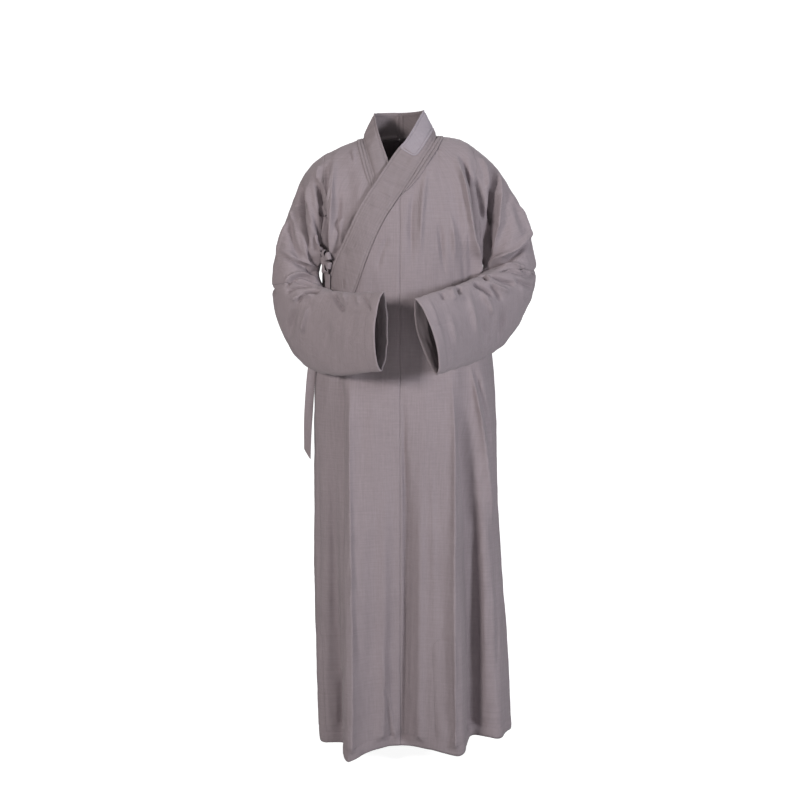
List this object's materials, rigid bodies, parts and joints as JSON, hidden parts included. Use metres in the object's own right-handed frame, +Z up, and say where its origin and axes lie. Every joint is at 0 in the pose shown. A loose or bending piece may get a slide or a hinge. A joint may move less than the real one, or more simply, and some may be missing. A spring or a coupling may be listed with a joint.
{
  "type": "buddhist monk robe",
  "caption": "Long crossed-front gown with wide banded collar, full sleeves bent forward at the elbow and a side tie, hollow as worn.",
  "frame": {"origin": "on the shoulder line, midway between the two points where the collar crosses the shoulders, where the wearer's shoulders carry the robe", "axes": "+Z up, -Y the way the wearer faces, +X the wearer's left"},
  "size_m": [0.6006, 0.4752, 1.4783],
  "materials": {
    "cloth": "matt plain weave with slubs",
    "collar": "matt plain weave, stitched in rows",
    "guard": "matt close weave"
  },
  "bodies": {
    "root": {"front_left_hem": "cloth", "front_left_skirt": "cloth", "front_left_waist": "cloth", "front_left_chest": "cloth", "front_overlap_hem": "cloth", "front_overlap_skirt": "cloth", "front_overlap_waist": "cloth", "front_overlap_chest": "cloth", "front_right_hem": "cloth", "front_right_skirt": "cloth", "front_right_waist": "cloth", "front_right_chest": "cloth", "back_left_hem": "cloth", "back_left_skirt": "cloth", "back_left_waist": "cloth", "back_left_chest": "cloth", "back_right_hem": "cloth", "back_right_skirt": "cloth", "back_right_waist": "cloth", "back_right_chest": "cloth", "sleeve_top_left": "cloth", "sleeve_upper_left": "cloth", "sleeve_lower_left": "cloth", "sleeve_cuff_left": "cloth", "sleeve_top_right": "cloth", "sleeve_upper_right": "cloth", "sleeve_elbow_right": "cloth", "sleeve_lower_right": "cloth", "sleeve_cuff_right": "cloth", "collar_left": "collar", "collar_right": "collar", "collar_step_inner": "collar", "collar_step_outer": "collar", "collar_guard": "guard", "tie_knot": "cloth", "tie_tail": "cloth"}
  },
  "joints": []
}
